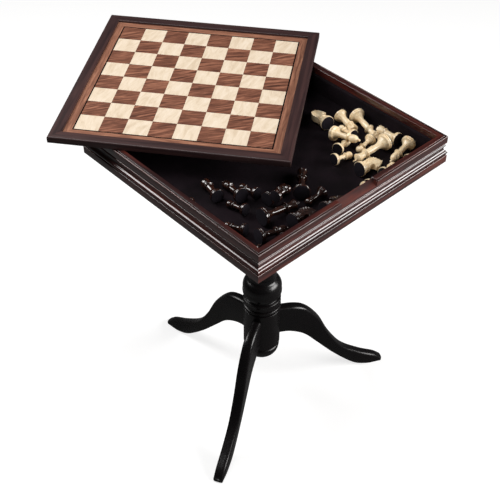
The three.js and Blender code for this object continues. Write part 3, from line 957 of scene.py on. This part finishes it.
def build_men():
    """Both sets, each man laid as its CAD solid lies and felted under its base."""
    shapes = {kind: man_mesh(kind) for kind in PROFILES}
    sets = {
        "light": ("boxwood", boxwood, "light_men"),
        "dark": ("stained_boxwood", stained, "dark_men"),
    }
    for colour, (slot, look, body) in sets.items():
        for node in sorted(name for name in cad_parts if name.startswith(colour + "_")):
            kind = node.split("_")[1]
            mesh = shapes[kind].copy()
            piece(f"{node}_turned", mesh, slot, body, [node], man_placement(node, kind), along="Z",
                  sharp=40, looks=[look, disc_felt])
            for face in mesh.polygons:
                face.material_index = 1 if face.center.z < (DISC_THICK - 0.01) * MM else 0
            mesh.update()


# ---------------------------------------------------------------- stage, lights and camera
def stage_paper(material, glow_strength, lit_colour, other_colour):
    """A stage material that the camera sees as burnt-out white, dimmed only where nearly all light
    is blocked, while the object is lit and reflected by a much darker floor."""
    tree = material.node_tree
    tree.nodes.clear()
    glow = tree.nodes.new("ShaderNodeEmission")
    glow.inputs["Color"].default_value = (1.0, 1.0, 1.0, 1.0)
    glow.inputs["Strength"].default_value = glow_strength
    paper = tree.nodes.new("ShaderNodeBsdfDiffuse")
    paper.inputs["Color"].default_value = lit_colour
    seen = tree.nodes.new("ShaderNodeAddShader")
    tree.links.new(glow.outputs[0], seen.inputs[0])
    tree.links.new(paper.outputs[0], seen.inputs[1])
    dull = tree.nodes.new("ShaderNodeBsdfDiffuse")
    dull.inputs["Color"].default_value = other_colour
    path = tree.nodes.new("ShaderNodeLightPath")
    either = tree.nodes.new("ShaderNodeMixShader")
    tree.links.new(path.outputs["Is Camera Ray"], either.inputs[0])
    tree.links.new(dull.outputs[0], either.inputs[1])
    tree.links.new(seen.outputs[0], either.inputs[2])
    below = tree.nodes.new("ShaderNodeNewGeometry")
    clear = tree.nodes.new("ShaderNodeBsdfTransparent")
    final = tree.nodes.new("ShaderNodeMixShader")
    tree.links.new(below.outputs["Backfacing"], final.inputs[0])
    tree.links.new(either.outputs[0], final.inputs[1])
    tree.links.new(clear.outputs[0], final.inputs[2])
    output = tree.nodes.new("ShaderNodeOutputMaterial")
    tree.links.new(final.outputs[0], output.inputs["Surface"])


FLOOR_REACH = 14.0                # metres from the table to the floor's edges
FLOOR_DROP = 0.0005               # metres from the toes down to the floor


def build_stage():
    corners = [(x * FLOOR_REACH, y * FLOOR_REACH, 0) for x, y in ((-1, -1), (1, -1), (1, 1), (-1, 1))]
    mesh = mesh_of("floor", corners, [(0, 1, 2, 3)], metres=True)
    floor = bpy.data.objects.new("floor", mesh)
    bpy.context.scene.collection.objects.link(floor)
    floor.location.z = cad_box[0].z - FLOOR_DROP
    paper = bpy.data.materials.new("floor_paper")
    paper.use_nodes = True
    stage_paper(paper, glow_strength=0.68, lit_colour=(0.45, 0.45, 0.45, 1.0),
                other_colour=(0.12, 0.12, 0.12, 1.0))
    mesh.materials.append(paper)


ROOM_GLOW = 0.04                  # strength of the room's own light, which fills the shadows


def build_world():
    """White to the camera, and a faint cool glow to everything else."""
    world = bpy.data.worlds.new("studio")
    bpy.context.scene.world = world
    world.use_nodes = True
    tree = world.node_tree
    tree.nodes.clear()
    seen = tree.nodes.new("ShaderNodeBackground")
    seen.inputs["Color"].default_value = (1.0, 1.0, 1.0, 1.0)
    room = tree.nodes.new("ShaderNodeBackground")
    room.inputs["Color"].default_value = (0.95, 0.97, 1.0, 1.0)
    room.inputs["Strength"].default_value = ROOM_GLOW
    path = tree.nodes.new("ShaderNodeLightPath")
    either = tree.nodes.new("ShaderNodeMixShader")
    tree.links.new(path.outputs["Is Camera Ray"], either.inputs[0])
    tree.links.new(room.outputs[0], either.inputs[1])
    tree.links.new(seen.outputs[0], either.inputs[2])
    output = tree.nodes.new("ShaderNodeOutputWorld")
    tree.links.new(either.outputs[0], output.inputs["Surface"])


# Softboxes: the way to each from the table's centre, its distance, width and height in metres,
# power in watts, colour.
SOFTBOXES = {
    "right": ((0.54, -0.79, 0.30), 2.0, (1.4, 1.0), 59.0, (1.0, 0.985, 0.97)),
    "back_left": ((-0.34, 0.68, 0.65), 2.0, (0.9, 1.2), 31.0, (1.0, 0.99, 0.98)),
    "top": ((-0.24, 0.06, 0.97), 1.9, (0.8, 0.8), 14.0, (1.0, 1.0, 1.0)),
}


def build_lights():
    for name, (way, distance, (width, height), watts, colour) in SOFTBOXES.items():
        data = bpy.data.lights.new(name, "AREA")
        data.shape = "RECTANGLE"
        data.size = width
        data.size_y = height
        data.energy = watts
        data.color = colour
        lamp = bpy.data.objects.new(name, data)
        bpy.context.scene.collection.objects.link(lamp)
        lamp.location = CENTRE + Vector(way).normalized() * distance
        lamp.rotation_mode = "QUATERNION"
        lamp.rotation_quaternion = (-Vector(way)).to_track_quat("-Z", "Y")


# The camera stands off the front left corner, about 0.9 m above the rim and 1.25 m from the
# table's centre in plan. Its place is in chess squares from that centre, its angles in degrees.
CAMERA_PLACE = Vector((-22.69, -23.61, 23.68))
CAMERA_HEADING = 47.13
CAMERA_DIP = 42.63
CAMERA_ROLL = 0.13
CAMERA_LENS = 72.0                # millimetres, on a 36 mm sensor


def build_camera():
    data = bpy.data.cameras.new("camera")
    data.sensor_width = 36.0
    data.lens = CAMERA_LENS
    data.clip_start = 0.05
    data.clip_end = 60.0
    camera = bpy.data.objects.new("camera", data)
    bpy.context.scene.collection.objects.link(camera)
    heading = math.radians(CAMERA_HEADING)
    dip = math.radians(CAMERA_DIP)
    level = math.cos(dip)
    forward = Vector((math.cos(heading) * level, math.sin(heading) * level, -math.sin(dip)))
    aim = forward.to_track_quat("-Z", "Y").to_matrix().to_4x4()
    roll = Matrix.Rotation(math.radians(CAMERA_ROLL), 4, "Z")
    camera.matrix_world = Matrix.Translation(CENTRE + CAMERA_PLACE * SQUARE * MM) @ aim @ roll
    bpy.context.scene.camera = camera


bpy.context.scene.view_settings.view_transform = "Standard"
build_camera()
build_world()
build_lights()
build_stage()
build_box()
build_lid()
build_column()
build_legs()
build_men()

bpy.context.view_layer.update()
